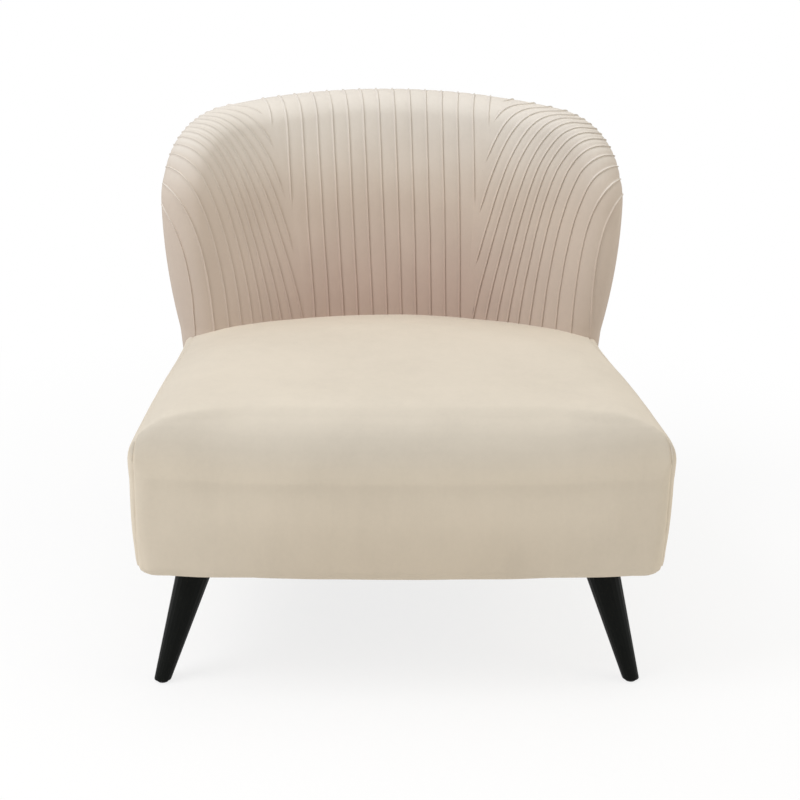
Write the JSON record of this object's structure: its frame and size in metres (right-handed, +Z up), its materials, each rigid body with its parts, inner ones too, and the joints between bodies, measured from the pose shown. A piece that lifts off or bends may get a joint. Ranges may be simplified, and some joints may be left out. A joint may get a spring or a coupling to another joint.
{
  "type": "barrel-back lounge chair",
  "caption": "Armless upholstered lounge chair: rounded velvet seat block, flared barrel back with sewn pin tucks over a rolled rim, splayed tapered legs.",
  "frame": {"origin": "on the floor under the middle of the chair's box", "axes": "+X across the chair, -Y towards the front of the seat, +Z up"},
  "size_m": [0.7656, 0.7393, 0.7596],
  "materials": {
    "velvet_seat": "cream velvet",
    "velvet_back": "blush beige velvet",
    "leg_black": "black satin lacquer",
    "glide_plastic": "moulded black",
    "frame_wood": "sawn softwood",
    "plywood": "bent plywood",
    "foam": "open-cell foam",
    "webbing": "woven strap",
    "dust_cloth": "black non-woven cloth",
    "steel": "zinc plated"
  },
  "bodies": {
    "root": {"leg_front_left": "leg_black", "leg_front_right": "leg_black", "leg_rear_left": "leg_black", "leg_rear_right": "leg_black", "foot_glides": "glide_plastic", "leg_hanger_bolts": "steel", "leg_tee_nuts": "steel", "front_rail": "frame_wood", "left_rail": "frame_wood", "right_rail": "frame_wood", "rear_rail": "plywood", "corner_blocks": "frame_wood", "centre_stretcher": "frame_wood", "seat_webbing_lengthwise": "webbing", "seat_webbing_crosswise": "webbing", "back_shell": "plywood", "back_post_left": "frame_wood", "back_post_right": "frame_wood", "post_wedges": "frame_wood", "post_bolts": "steel", "post_bolt_nuts": "steel", "seat_foam": "foam", "back_foam": "foam", "front_rail_pad": "foam", "left_rail_pad": "foam", "right_rail_pad": "foam", "rear_rail_pad": "foam", "seat_top_cover": "velvet_seat", "seat_rear_cover": "velvet_seat", "seat_left_side_cover": "velvet_seat", "seat_right_side_cover": "velvet_seat", "dust_cover": "dust_cloth", "inside_centre_panel": "velvet_back", "inside_left_wing": "velvet_back", "inside_right_wing": "velvet_back", "outside_back_cover": "velvet_back"}
  },
  "joints": []
}
